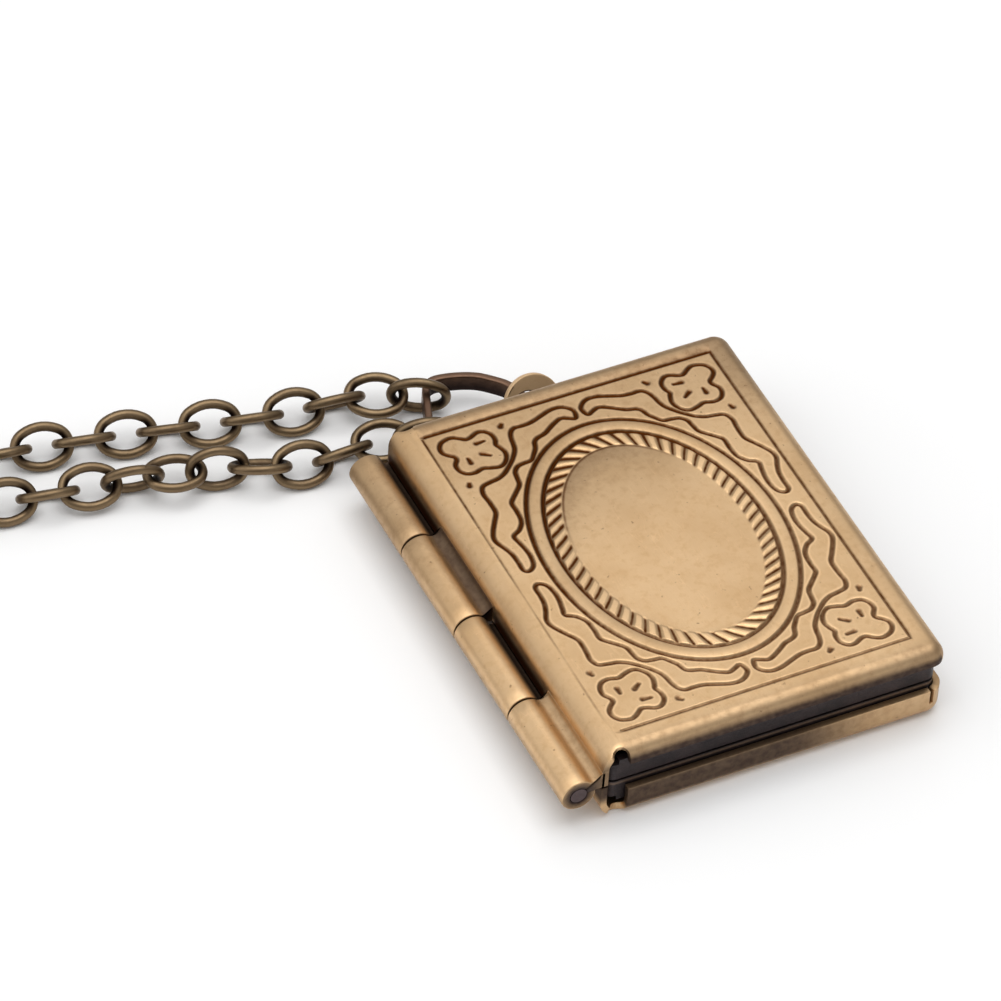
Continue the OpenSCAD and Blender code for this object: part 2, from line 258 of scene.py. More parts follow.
def dark_paint(name, base, rim, edge, rough):
    """Near-black painted shade for the recessed page frames, a half-metallic satin: brownish in clouds,
    with a fine grain, and with a painted highlight in the colour of bare brass along a line just below
    the level where the two page frames meet."""
    n = Nodes(name)
    clouds = n.ramp(n.noise(0.6, 4, 0.6), 0.35, 0.75)
    level = n.add("ShaderNodeSeparateXYZ")
    n.put(n.place(), level.inputs[0])
    # painted highlight: a bright line just below the level where the two page frames meet
    seam_highlight = n.math("ABSOLUTE", n.math("SUBTRACT", level.outputs[2], BACK_HIGH - 0.15))
    seam_highlight = n.ramp(seam_highlight, 0.02, 0.13, 0.4, 0.0)
    n.put(n.blend(seam_highlight, n.blend(clouds, base, rim), edge), n.shader.inputs["Base Color"])
    n.shader.inputs["Metallic"].default_value = 0.55
    n.put(n.ramp(n.noise(5, 3, 0.5), 0.3, 0.7, rough - 0.06, rough + 0.08), n.shader.inputs["Roughness"])
    n.bump(n.noise(12, 3, 0.6), 0.25, 0.0003)
    return n.material


# The brown in engraved lines, and a near-black that mostly stands for painted shade on walls and in gaps
GROOVE_BROWN, DARK_SHADE_AND_FILM = (0.085, 0.022, 0.002), (0.040, 0.025, 0.024)
old_gold = brass("old_gold", (0.715, 0.49, 0.275), (0.56, 0.35, 0.17), GROOVE_BROWN, DARK_SHADE_AND_FILM,
                 rough=0.41, scratches=0.25)
# painted light: the eye's brass is a lit copy of the cover's, less metallic and rougher, so that it shows
# the softboxes' light where a metal face would mirror the dark end wall before it
eye_gold = brass("eye_gold", (0.6, 0.41, 0.23), (0.5, 0.32, 0.165), GROOVE_BROWN, DARK_SHADE_AND_FILM,
                 rough=0.5, metal=0.4)
chain_brass = brass("chain_brass", (0.215, 0.15, 0.085), (0.13, 0.085, 0.05), (0.018, 0.009, 0.006),
                    (0.035, 0.02, 0.016), rough=0.38, spots=0.4)
ring_bronze = brass("ring_bronze", (0.17, 0.10, 0.065), (0.09, 0.05, 0.035), (0.012, 0.006, 0.005),
                    (0.022, 0.012, 0.01), rough=0.36, spots=0.4)
pin_steel = brass("pin_steel", (0.11, 0.08, 0.08), (0.07, 0.05, 0.05), (0.03, 0.02, 0.02),
                  (0.03, 0.02, 0.02), rough=0.38, spots=0.3)
# painted shade: the page frames, recessed between the covers, are painted near-black
page_frame_shade = dark_paint("page_frame_shade", (0.014, 0.009, 0.01), (0.035, 0.022, 0.022), (0.3, 0.2, 0.13),
                          rough=0.42)


# The engraved cover

# One corner's ornament, top left of the cover seen from above: the flower's outline, the long
# scroll's outline and the small strokes as (middle x, middle y, angle, length, half width)
FLOWER = [
    (-7.36, 11.04), (-7.83, 10.88), (-8.09, 10.52), (-8.09, 10.15), (-7.88, 9.87), (-7.62, 9.63),
    (-7.62, 9.37), (-7.85, 9.01), (-7.83, 8.59), (-7.57, 8.23), (-7.1, 8.12), (-6.58, 8.25),
    (-6.16, 8.12), (-5.69, 8.02), (-5.33, 8.17), (-5.05, 8.54), (-4.96, 8.95), (-5.07, 9.37),
    (-5.17, 9.63), (-5.04, 10), (-5.07, 10.46), (-5.38, 10.81), (-5.75, 10.85), (-6.16, 10.67),
    (-6.48, 10.62), (-6.79, 10.83), (-7.05, 10.99)]
SCROLL = [
    (-0.43, 9.79), (-0.75, 9.94), (-1.11, 10.07), (-1.48, 9.94), (-2, 9.63), (-2.41, 9.37),
    (-2.93, 9.21), (-3.19, 9.01), (-3.35, 8.59), (-3.61, 8.22), (-3.92, 7.86), (-4.39, 7.79),
    (-4.81, 7.7), (-5.12, 7.39), (-5.22, 6.97), (-5.33, 6.45), (-5.69, 6.04), (-6.11, 5.62),
    (-6.32, 5.31), (-6.32, 4.68), (-6.42, 3.95), (-6.79, 3.43), (-7.26, 3.12), (-7.2, 2.6),
    (-7.1, 1.98), (-7.1, 1.35), (-7.26, 0.78), (-7.62, 0.52), (-7.88, 0.73), (-7.88, 1.35),
    (-7.93, 1.98), (-8.09, 2.5), (-8.3, 3.02), (-8.3, 3.43), (-8.09, 3.9), (-7.73, 4.48), (-7.41, 5),
    (-7.36, 5.52), (-7.38, 6.04), (-7.41, 6.56), (-7.2, 7.03), (-6.68, 7.18), (-6.16, 7.27),
    (-5.69, 7.5), (-5.33, 7.81), (-4.91, 8.22), (-4.5, 8.75), (-4.34, 9.16), (-4.24, 9.68),
    (-4.08, 10.1), (-3.77, 10.36), (-3.25, 10.36), (-2.73, 10.41), (-2.1, 10.62), (-1.48, 10.83),
    (-0.95, 10.88), (-0.54, 10.73), (-0.23, 10.36), (-0.28, 9.94)]
STROKES = [
    (-5.9, 10.1, 5, 0.72, 0.13), (-7.0, 9.06, 90, 0.62, 0.13), (-6.0, 9.15, -35, 0.72, 0.13),
    (-4.34, 10.8, 45, 0.5, 0.155), (-7.78, 7.45, 70, 0.5, 0.155)]


def catmull_rom(before, start, end, after, steps):
    """The stretches of a Catmull-Rom curve from each start point to its end point, each a cubic
    whose slopes come from the points before and after, with a few steps to each stretch."""
    a, b, c, d = (np.array(v, float)[:, None] for v in (before, start, end, after))
    t = (np.arange(steps) / steps)[None, :, None]
    return (0.5 * (2 * b + (c - a) * t + (2 * a - 5 * b + 4 * c - d) * t ** 2
                   + (3 * b - a - 3 * c + d) * t ** 3)).reshape(-1, 2)


def smooth_loop(points, steps=5):
    """A closed Catmull-Rom curve through the points."""
    before, end, after = (np.roll(points, shift, 0) for shift in (1, -1, -2))
    return catmull_rom(before, points, end, after, steps)


def distance_to(points, starts, ends):
    """The distance from each point to the nearest of many straight stretches, worked out in blocks."""
    out = np.empty(len(points))
    run = ends - starts
    length2 = np.maximum((run ** 2).sum(1), 1e-12)
    for k in range(0, len(points), 4000):
        p = points[k:k + 4000, None]
        t = np.clip(((p - starts) * run).sum(2) / length2, 0, 1)
        out[k:k + 4000] = np.sqrt((((p - starts) - t[..., None] * run) ** 2).sum(2).min(1))
    return out


def oval_distance(x, y):
    """How far a point lies outside the ring's outer groove, with the way out: the ellipse's level
    less 1, over the level's slope."""
    u, v = (x - OVAL_X) / RING_A, (y - OVAL_Y) / RING_B
    level = np.maximum(np.hypot(u, v), 1e-6)
    slope_x, slope_y = u / level / RING_A, v / level / RING_B
    slope = np.maximum(np.hypot(slope_x, slope_y), 1e-6)
    return (level - 1) / slope, slope_x / slope, slope_y / slope


def groove(d, half=0.12, depth=0.1):
    """An engraved line's depth at distance d from its middle: full at 0 and none past half + 0.05."""
    return depth * (1 - step(0.02, half + 0.05, np.abs(d)))


def stain(d, half):
    """The brown that sits in an engraved line, half strong at the given distance from its middle."""
    return 2.0 ** -(np.abs(d) / half) ** 2.4


def bold(x, y):
    """Half width of the brown in the ornament's lines: they are boldest at the chain end's left."""
    return 0.1 + 0.034 * step(-4.0, 12.0, y - 0.6 * x)


def rubbed_edge(d):
    """The bright worn band just outside an engraved line, a bell curve 0.2 from its middle."""
    return np.exp(-((np.abs(d) - 0.2) / 0.06) ** 2)


def placed(shape, side_x, side_y, fit):
    """The top left corner's outline carried to another corner: mirrored about the middle, turned and
    stretched a little about its own middle, and shifted."""
    shift_x, shift_y, stretch_x, stretch_y, turn = fit
    x = MIDDLE_X - side_x * (shape[:, 0] - MIDDLE_X)
    y = MIDDLE_Y + side_y * (shape[:, 1] - MIDDLE_Y)
    x0, y0 = x.mean(), y.mean()
    x, y = rotated(x - x0, y - y0, math.radians(turn))
    return np.stack([x0 + shift_x + stretch_x * x, y0 + shift_y + stretch_y * y], 1)


def ornament(points, side_x, side_y, flower_fit, scroll_fit):
    """Height, patina and wear of one corner's ornament: grooves along the two outlines and the
    small strokes, whose width tapers along them; the metal between two grooves swells a little."""
    lines = [placed(smooth_loop(FLOWER), side_x, side_y, flower_fit),
             placed(smooth_loop(SCROLL), side_x, side_y, scroll_fit)]
    starts = np.concatenate(lines)
    ends = np.concatenate([np.roll(line, -1, 0) for line in lines])
    d = distance_to(points, starts, ends)
    height, dark, wear = -groove(d), stain(d, bold(*points.T)), rubbed_edge(d)
    for x, y, angle, length, half in STROKES:
        way = unit(np.radians(angle)) * (length / 2 - half)
        tips = np.array([[x, y] - way, [x, y] + way])
        tips = np.stack([MIDDLE_X - side_x * (tips[:, 0] - MIDDLE_X) + flower_fit[0],
                         MIDDLE_Y + side_y * (tips[:, 1] - MIDDLE_Y) + flower_fit[1]], 1)
        run = tips[1] - tips[0]
        t = np.clip(((points - tips[0]) @ run) / (run @ run), 0, 1)
        s = np.hypot(*(points - tips[0] - t[:, None] * run).T)
        width = half * (1.1 - 0.35 * t)
        height = np.minimum(height, -0.06 * (1 - step(0.0, 1.4, s / width)))
        dark = np.maximum(dark, 2.0 ** -(s / width) ** 2.4)
        wear = np.maximum(wear, 0.8 * np.exp(-((s - width - 0.08) / 0.05) ** 2))
        d = np.minimum(d, s)
    swell = 0.045 * (1 - np.exp(-np.maximum(d - 0.1, 0) / 0.4))
    return height + swell, dark, wear


def to_stretch(x, y, x0, y0, x1, y1):
    """The distance from points to one straight stretch."""
    t = np.clip(((x - x0) * (x1 - x0) + (y - y0) * (y1 - y0)) / ((x1 - x0) ** 2 + (y1 - y0) ** 2), 0, 1)
    return np.hypot(x - x0 - t * (x1 - x0), y - y0 - t * (y1 - y0))


def frame_line(x, y):
    """Depth and patina of the thin line that frames the ornament. The line at the top is the
    boldest; on the spine side it is thin, leans a little and fades out towards the lower end."""
    left = to_stretch(x, y, LINE_LEFT - 0.08, LINE_BOTTOM + 0.9, LINE_LEFT + 0.08, LINE_TOP - 0.15)
    top = to_stretch(x, y, LINE_LEFT + 0.2, LINE_TOP + 0.02, LINE_RIGHT, LINE_TOP + 0.03)
    right = to_stretch(x, y, LINE_RIGHT, LINE_BOTTOM + 0.1, LINE_RIGHT, LINE_TOP)
    low = to_stretch(x, y, LINE_LEFT + 0.45, LINE_BOTTOM, LINE_RIGHT, LINE_BOTTOM + 0.1)
    faint = 0.25 + 0.5 * step(-4.0, 9.0, y) + 0.12 * np.sin(1.3 * y)
    depth = np.maximum.reduce([groove(left, 0.05, 0.05) * faint, groove(top, 0.12, 0.1),
                               groove(right, 0.08, 0.07), groove(low, 0.09, 0.07)])
    dark = np.maximum.reduce([stain(left, 0.06) * faint, stain(top, 0.105),
                              0.85 * stain(right, 0.075), 0.85 * stain(low, 0.085)])
    return depth, dark


def faded(x, y):
    """The share of brown left in the grooves: they are worn cleaner towards the lower end."""
    return 1.0 - 0.22 * step(-11.0, 9.0, 0.5 * x - y)


def corner_panel(name, side_x, side_y, flower_fit, scroll_fit):
    """One engraved corner of the cover between the frame line and the oval ring: a square grid of
    points whose height is the ornament's, cut off and snapped to the ring's outer groove."""
    cell = 0.031
    limit_x = LINE_RIGHT if side_x > 0 else LINE_LEFT
    limit_y = LINE_TOP if side_y > 0 else LINE_BOTTOM
    nx = int(round(abs(limit_x - OVAL_X) / cell)) + 1
    ny = int(round(abs(limit_y - OVAL_Y) / cell)) + 1
    x, y = np.meshgrid(np.linspace(OVAL_X, limit_x, nx), np.linspace(OVAL_Y, limit_y, ny), indexing="ij")
    x, y = x.ravel(), y.ravel()
    d, way_x, way_y = oval_distance(x, y)
    faces = grid_faces(nx, ny)
    keep = (d[faces].min(1) > -1.6 * cell) & (d[faces].max(1) > 0)
    faces = faces[keep]
    inside = d < 0
    x, y = np.where(inside, x - d * way_x, x), np.where(inside, y - d * way_y, y)
    d = np.maximum(d, 0)
    used, faces = np.unique(faces, return_inverse=True)
    faces = faces.reshape(-1, 4)
    x, y, d = x[used], y[used], d[used]
    height, dark, wear = ornament(np.stack([x, y], 1), side_x, side_y, flower_fit, scroll_fit)
    line, line_dark = frame_line(x, y)
    height = np.minimum(height * step(0, 0.2, d), -groove(d)) - line
    height = np.where(d > 0.17, height, np.minimum(height, -groove(d)))
    dark = np.maximum.reduce([dark, stain(d, bold(x, y)), line_dark]) * faded(x, y)
    wear = np.maximum(wear, rubbed_edge(d)) * (1 - dark)
    # painted shade: the engraving darkens towards the chain end
    painted_shade = 0.2 * step(2.0, 11.5, y)
    points = np.stack([x, y, THICK + height], 1)
    return make_piece(name, points, faces, old_gold, "front",
                      {"patina": dark, "wear": wear, "tarnish": painted_shade}, flip=side_x * side_y < 0, weld=0)


def medallion():
    """The plain oval with its rope border and ring: rows are ellipses that shrink from the ring's
    outer groove to the middle, columns are evenly spaced along the rope. A strand of the rope is a
    rounded lozenge that slants across the band, more on the right and left than at the ends. Its
    crest lies where the strand count is whole, and brown lies in the gaps half way between."""
    columns = ROPE_STRANDS * 22
    turn = np.linspace(0, 2 * np.pi, 20001)
    run = length_along(unit(turn) * [RING_A - ROPE_MIDDLE, RING_B - LONG_SHARE * ROPE_MIDDLE])
    share = (np.arange(columns) / columns)[None]
    angle = np.interp(share[0] * run[-1], run, turn)[None]
    inward = np.concatenate([np.linspace(0, 0.2, 9)[:-1], np.linspace(0.2, 0.72, 9)[:-1],
                             np.linspace(0.72, 1.08, 12)[:-1], np.linspace(1.08, 2.1, 27)])
    shrink = np.concatenate([np.ones(len(inward)), np.linspace(1, 0, 16)[1:]])[:, None]
    o = np.concatenate([inward, np.full(len(shrink) - len(inward), inward[-1])])[:, None]
    x = OVAL_X + (RING_A - o) * np.cos(angle) * shrink
    y = OVAL_Y + (RING_B - LONG_SHARE * o) * np.sin(angle) * shrink
    on_band = shrink > 0.999
    across = (o - ROPE_EDGE) / ROPE_WIDTH
    slant = 0.97 + 0.52 * np.cos(4 * np.pi * (share - 0.37))
    count = (ROPE_STRANDS * share + 1.12 + 0.62 * np.sin(2 * np.pi * (share - 0.02))
             + slant * (o - ROPE_MIDDLE) + 0.22 * (across - 0.5) ** 2)
    off_crest = np.abs(count - np.round(count))
    pitch = run[-1] / ROPE_STRANDS
    gap = (0.5 - off_crest) * pitch * np.cos(np.arctan(slant * pitch))
    band = step(0.0, 0.12, across) * (1 - step(0.88, 1.06, across)) * on_band
    crown = np.sqrt(np.clip(1 - (2 * across - 1) ** 2, 0, 1))
    round_ridge = step(0.02, 0.24, gap)
    height = -groove(o, 0.13, 0.1) - groove(o - RING_BAND, 0.11, 0.11)
    height = height + 0.038 * np.sin(np.pi * np.clip(o / RING_BAND, 0, 1)) * (o < RING_BAND)
    height = height + band * ((0.012 + 0.02 * crown) * round_ridge - 0.028 * (1 - round_ridge))
    height = height + 0.05 * (1 - shrink ** 2) * ~on_band
    broad = np.exp(-((share - 0.34) / 0.16) ** 2)
    rings = np.maximum(stain(o, bold(x, y)), stain(o - RING_BAND, bold(x, y))) * faded(x, y)
    gaps = band * (1 - step(0.03, 0.125 + 0.055 * broad, gap)) * (0.86 + 0.14 * broad)
    # painted shade: a soft dark band along the plain oval's edge on the upper left
    far_left = step(0.12, 0.22, share) * (1 - step(0.38, 0.5, share))
    foot = 0.7 * np.exp(-((o - 1.95) / 0.07) ** 2) * far_left * on_band
    dark = np.maximum.reduce([rings * on_band, gaps, foot])
    wear = np.maximum(band * step(0.16, 0.26, gap), 0.6 * rubbed_edge(o - RING_BAND) * (o < RING_BAND))
    # painted shade: the plain oval and its border darken towards the chain end and the spine side
    plain_shade = 0.3 * step(0.0, 8.0, y - 0.25 * x)
    plain_shade = plain_shade + 0.22 * step(0.75, 1.0, shrink) * step(2.0, 9.0, y - 0.5 * x)
    border_shade = 0.2 * step(2.0, 11.5, y) + 0.12 * step(0.5, 5.5, -x)
    painted_shade = np.where(o > 1.9, plain_shade, border_shade)
    points = np.stack(np.broadcast_arrays(x, y, THICK + height), -1)
    marks = {"patina": dark.ravel(), "wear": wear.ravel(), "tarnish": painted_shade.ravel()}
    return make_piece("oval_medallion", points, grid_faces(len(o), columns, wrap_columns=True),
                      old_gold, "front", marks)


# The covers' rolled rims and the hinge

def end_trim(x, y):
    """Keeps an end rim clear of the round notch beside the spine: x is squeezed towards the
    fore-edge so that it starts on the notch's circle where y crosses it."""
    inside = np.clip(NOTCH_R ** 2 - (np.abs(y) - NOTCH_Y) ** 2, 0, None)
    first = np.maximum(SPINE_X, NOTCH_X + np.sqrt(inside))
    return np.where(inside > 0, first + (x - SPINE_X) * (CORE_X - first) / (CORE_X - SPINE_X), x)


def rim_sheet(wall, line=True):
    """The outer skin of three sides of a cover as (points, faces, row depth, side): columns go
    round the core rectangle, rows go outwards over the bend of radius EDGE_R and down the wall.
    The third coordinate is the depth below the cover's outer face."""
    # Turning points of the walk round the cover. Columns: a point on the frame line, its partner on
    # the core rectangle, and the way out in degrees
    turns = np.array([
        (LINE_LEFT, LINE_BOTTOM, SPINE_X, -CORE_Y, -90), (LINE_RIGHT, LINE_BOTTOM, CORE_X, -CORE_Y, -90),
        (LINE_RIGHT, LINE_BOTTOM, CORE_X, -CORE_Y, 0), (LINE_RIGHT, LINE_TOP, CORE_X, CORE_Y, 0),
        (LINE_RIGHT, LINE_TOP, CORE_X, CORE_Y, 90), (LINE_LEFT, LINE_TOP, SPINE_X, CORE_Y, 90)])
    walk = [a + (b - a) * np.linspace(0, 1, count + 1)[1:, None]
            for a, b, count in zip(turns, turns[1:], (60, 12, 60, 12, 60))]
    fx, fy, cx, cy, angle = np.concatenate([turns[:1], *walk]).T
    nx, ny = np.cos(np.radians(angle)), np.sin(np.radians(angle))
    bend = np.radians(np.linspace(0, 90, 13))
    inner = np.array([0, 0.03, 0.06, 0.09, 0.13, 0.2])
    reach = np.concatenate([np.zeros(len(inner)), CORE_R - EDGE_R + EDGE_R * np.sin(bend),
                            np.full(6, CORE_R)])
    down = np.concatenate([np.zeros(len(inner)), EDGE_R - EDGE_R * np.cos(bend),
                           np.linspace(EDGE_R, wall, 7)[1:]])
    gap_x, gap_y = cx - fx, cy - fy
    gap = np.maximum(np.hypot(gap_x, gap_y), 1e-6)
    share = np.concatenate([inner, np.full(len(reach) - len(inner), np.inf)])
    share = np.minimum(share[:, None] / gap[None], 1)
    x = fx[None] + gap_x[None] * share + nx[None] * reach[:, None]
    y = fy[None] + gap_y[None] * share + ny[None] * reach[:, None]
    x = end_trim(x, y)
    depth = np.broadcast_to(down[:, None], x.shape).copy()
    if line:
        depth[:len(inner)] += frame_line(x[:len(inner)], y[:len(inner)])[0]
    down, side = np.broadcast_to(down[:, None], x.shape), np.broadcast_to(angle[None], x.shape)
    return np.stack([x, y, depth], -1), grid_faces(*x.shape), down, side


def spine_sheet(wall, line=True):
    """The outer skin of the spine side: columns run along the spine between the two notches, rows
    go over the bend of radius SPINE_R and down the wall; the end bends ease into it near the ends.
    Its first row has the same stations along Y as the end rims and the floor plate."""
    first = NOTCH_Y - math.sqrt(NOTCH_R ** 2 - (SPINE_X - NOTCH_X) ** 2)
    bent = CORE_Y + CORE_R - EDGE_R + EDGE_R * np.sin(np.radians(np.linspace(0, 30, 5)))
    ends = np.append(bent[bent < first - 0.01], first)
    y0 = np.concatenate([-ends[::-1], np.linspace(LINE_BOTTOM, LINE_TOP, 61), ends])
    t = y0 / first
    bend = np.radians(np.concatenate([[0, 1.5, 3, 4.5, 6.5], np.linspace(9, 90, 16)]))
    out = np.concatenate([SPINE_R * np.sin(bend), np.full(6, SPINE_R)])
    down = np.concatenate([SPINE_R - SPINE_R * np.cos(bend), np.linspace(SPINE_R, wall, 7)[1:]])
    x = np.repeat((SPINE_X - out)[:, None], len(t), 1)
    inside = np.clip(NOTCH_R ** 2 - (x - NOTCH_X) ** 2, 0, None)
    y = np.minimum(SPINE_Y, NOTCH_Y - np.sqrt(inside)) * t[None]
    ease = np.clip(np.abs(y) - (HALF_H - EDGE_R), 0, 0.78)
    drop = (EDGE_R - np.sqrt(EDGE_R ** 2 - ease ** 2)) * (1 - step(0, 1.0, out))[:, None]
    depth = down[:, None] + drop
    # painted highlight: a light band along the bend
    marks = {"wear": np.broadcast_to(0.25 * np.exp(-((down[:, None] - 0.15) / 0.12) ** 2), x.shape)}
    if line:
        line_depth, dark = frame_line(x, y)
        depth = depth + line_depth
        marks["patina"] = dark
    return np.stack([x, y, depth], -1), grid_faces(*x.shape), marks


def finish_sheet(thing):
    """Gives an outer skin the sheet's thickness inwards, and breaks its cut edges a little."""
    wall = thing.modifiers.new("sheet", "SOLIDIFY")
    wall.thickness = SHEET * MM
    wall.offset = -1
    wall.use_even_offset = True
    edge = thing.modifiers.new("edges", "BEVEL")
    edge.width = 0.045 * MM
    edge.segments = 2
    edge.limit_method = "ANGLE"
    edge.angle_limit = math.radians(50)
    return thing


def hinge_shade(y, shares):
    """A value along the hinge: one share for each of the four knuckles, blended at their ends."""
    spans = [knuckle_span(i) for i in range(4)]
    return sum(share * step(low - 0.1, low + 0.25, y) * (1 - step(high - 0.25, high + 0.1, y))
               for share, (low, high) in zip(shares, spans))


def front_rim():
    """The front cover's rim: its outer face is at the top, so the depth goes down from there. Painted
    shade darkens the walls downwards, the lower end wall most, and the border towards the chain end,
    the fore-edge and the lower edge; a faint painted highlight runs along the bend. The spine wall
    takes painted shade, darkest where the back cover's knuckles stand."""
    rim, rim_faces, down, side = rim_sheet(0.95)
    spine, spine_faces, spine_marks = spine_sheet(THICK - FRONT_LOW)
    near, far = side < -45, side > 45
    x, y = rim[..., 0], rim[..., 1]
    # painted shade: the walls darken downwards, the lower end wall nearly black, and the rim darkens towards
    # the chain end, the fore-edge and the lower edge
    film_and_shade = np.where(far, 0.12 * step(0.3, 0.7, down), 0.3 * step(0.4, 0.8, down))
    film_and_shade = np.where(near, 0.95 * step(0.1, 0.7, down), film_and_shade)
    painted_shade = 0.38 * step(4.0, 11.5, y) + 0.1 * step(6.0, 9.0, x) + 0.3 * step(11.6, 12.6, -y)
    film_and_shade = np.maximum(film_and_shade, painted_shade)
    # a faint painted highlight along the bend
    rim_marks = {"tarnish": film_and_shade, "patina": np.where(down < 0.01, frame_line(x, y)[1], 0),
                 "wear": 0.1 * np.exp(-((down - 0.1) / 0.1) ** 2)}
    depth, along = spine[..., 2], spine[..., 1]
    # painted shade on the spine wall beside the back cover's knuckles and towards its ends, and groove-dark
    # painted shade in the gaps by knuckles 1 and 3
    shade = hinge_shade(along, (0.97, 0.93, 0.97, 0.35)) * step(1.15, 1.9, depth)
    ends = step(11.9, 12.8, np.abs(along)) * step(0.3, 1.0, depth)
    spine_marks["tarnish"] = np.maximum(shade, 0.05 + 0.6 * ends)
    spine_marks["patina"] = np.maximum(spine_marks["patina"],
                                       hinge_shade(along, (0.9, 0, 0.9, 0)) * step(1.5, 2.1, depth))
    points, faces, marks = joined([(rim, rim_faces, rim_marks), (spine, spine_faces[:, ::-1], spine_marks)])
    points[:, 2] = THICK - points[:, 2]
    cover = make_piece("front_cover_rim", points, faces, old_gold, "front", marks)
    return finish_sheet(cover)


def front_lining():
    """The plain inner face of the front cover, a flat grid that faces down."""
    x, y = np.meshgrid(np.linspace(LINE_LEFT - 0.3, LINE_RIGHT + 0.3, 30),
                       np.linspace(LINE_BOTTOM - 0.3, LINE_TOP + 0.3, 40), indexing="ij")
    z = np.full(x.shape, THICK - SHEET)
    return make_piece("front_cover_inside", np.stack([x, y, z], -1), grid_faces(*x.shape), old_gold,
                      "front", {"tarnish": 0.2})


def back_shell():
    """The back cover: the same rim and spine sheets with the outer face down, and a floor plate
    whose edge points are theirs. A slit parts each end wall from the fore-edge wall. Painted shade
    darkens the walls downwards, the end wall at the lower end most on the hinge side and less towards
    the fore-edge, where it stays golden; the top edge keeps a little less of it."""
    rim, rim_faces, down, side = rim_sheet(WALL_H, line=False)
    x, y = rim[..., 0], rim[..., 1]
    near = side < -45
    # painted shade: the walls darken downwards, the lower end wall most on the hinge side; the top edge
    # keeps a little less of it, a painted highlight
    film_and_shade = np.where(near, 0.9 - 0.72 * step(0.5, 7.0, x), 0.45) * step(0.1, 0.7, down)
    edge = step(WALL_H - 0.12, WALL_H, down)
    middle = rim.reshape(-1, 3)[rim_faces].mean(1)
    slit = ((middle[:, 2] > EDGE_R + 0.1) & (middle[:, 0] > CORE_X) & (middle[:, 0] < CORE_X + 0.25)
            & (np.abs(middle[:, 1]) > CORE_Y))
    spine, spine_faces, spine_marks = spine_sheet(BACK_HIGH, line=False)
    # painted shade: the spine wall is dark low down, in the gap beside the knuckles
    spine_marks["tarnish"] = 0.9 * step(0.9, 1.6, spine[..., 2])
    px, py = np.meshgrid(np.linspace(LINE_LEFT, LINE_RIGHT, 61), np.linspace(LINE_BOTTOM, LINE_TOP, 61),
                         indexing="ij")
    plate = np.stack([px, py, np.zeros_like(px)], -1)
    points, faces, marks = joined([
        (rim, rim_faces[~slit][:, ::-1], {"tarnish": film_and_shade * (1 - 0.15 * edge)}),
        (spine, spine_faces, spine_marks),
        (plate, grid_faces(*px.shape)[:, ::-1], {"tarnish": 0.15})])
    cover = make_piece("back_cover_shell", points, faces, old_gold, "root", marks)
    return finish_sheet(cover)


def knuckle_piece(name, low, high, up, body, valley):
    """One hinge knuckle: a barrel round the pin whose skin runs on through a hollow curve into the
    spine wall. The section goes round by angle and is carried along Y, with rounded ends and a bore.
    up is 1 for the front cover's knuckles, which join their wall above the pin, and -1 below it.
    valley is how much painted shade lies in the hollow; the barrel's low outer side, its bore and the
    seams at its ends take painted shade too, and the barrels darken towards the chain end."""
    hollow, soft, bore_seen, foot_z = 0.45, 0.07, 0.5, 0.07
    mid_x = -HALF_W - hollow
    mid_z = math.sqrt((BARREL_R + hollow) ** 2 - (mid_x - AXIS_X) ** 2)
    touch = math.atan2(mid_z, mid_x - AXIS_X)
    foot = math.asin(foot_z / BARREL_R)
    barrel = np.linspace(touch, 2 * math.pi + foot, 73)
    sweep = np.linspace(0.0, -(math.pi - touch), 13)
    curve = [mid_x, mid_z] + hollow * unit(sweep)
    section = np.concatenate([
        [AXIS_X, 0] + BARREL_R * unit(barrel),
        [[-HALF_W + 0.02, foot_z], [-HALF_W + 0.2, foot_z], [-HALF_W + 0.2, mid_z]],
        curve[:-1]])
    away = unit(np.arctan2(section[:, 1], section[:, 0] - AXIS_X))
    bore = [AXIS_X, 0] + BORE_R * away

    def lip(end, inward):
        """The rows round one end, from the bore out to the full section. Columns: the row's
        section, its place along Y, how much painted shade lies on it at the seam and how worn it is."""
        rows = [(bore, end + inward * bore_seen, 1.0, 0.0), (bore, end, 1.0, 0.0),
                (section - away * soft, end, 0.6, 0.3)]
        for a in np.radians([30, 60, 90]):
            skin = section - away * soft * (1 - math.sin(a))
            rows.append((skin, end + inward * soft * (1 - math.cos(a)), 0.0, 1.0))
        return rows

    middle = [(section, low + soft + (high - low - 2 * soft) * k / 8, 0.0, 0.0) for k in range(1, 8)]
    rows = lip(low, 1) + middle + lip(high, -1)[::-1]
    points = np.array([np.stack([p[:, 0], np.full(len(p), y), AXIS_Z + up * p[:, 1]], 1)
                       for p, y, _, _ in rows])
    dark = np.repeat([r[2] for r in rows], len(section))
    wear = np.repeat([r[3] for r in rows], len(section))
    # painted shade in the hollow where it is hidden, on the barrel's low outer side and in the seams, and
    # the barrels darken towards the chain end
    hidden = step(AXIS_X + 0.35, AXIS_X + 0.85, section[:, 0])
    if up > 0:
        hidden = hidden * (section[:, 1] > 0.3)
    under = step(0.7, 1.0, -0.9 * away[:, 0] - 0.44 * up * away[:, 1])
    dark = np.maximum(dark, np.tile(np.maximum(valley * hidden, 0.4 * under), len(rows)))
    marks = {"tarnish": np.maximum(dark, 0.3 * step(-1.0, 8.0, points[..., 1].ravel())),
             "wear": 0.4 * wear * (1 - 0.8 * np.tile(hidden, len(rows)))}
    return make_piece(name, points, grid_faces(len(rows), len(section), wrap_columns=True), old_gold, body,
                      marks, flip=up < 0)


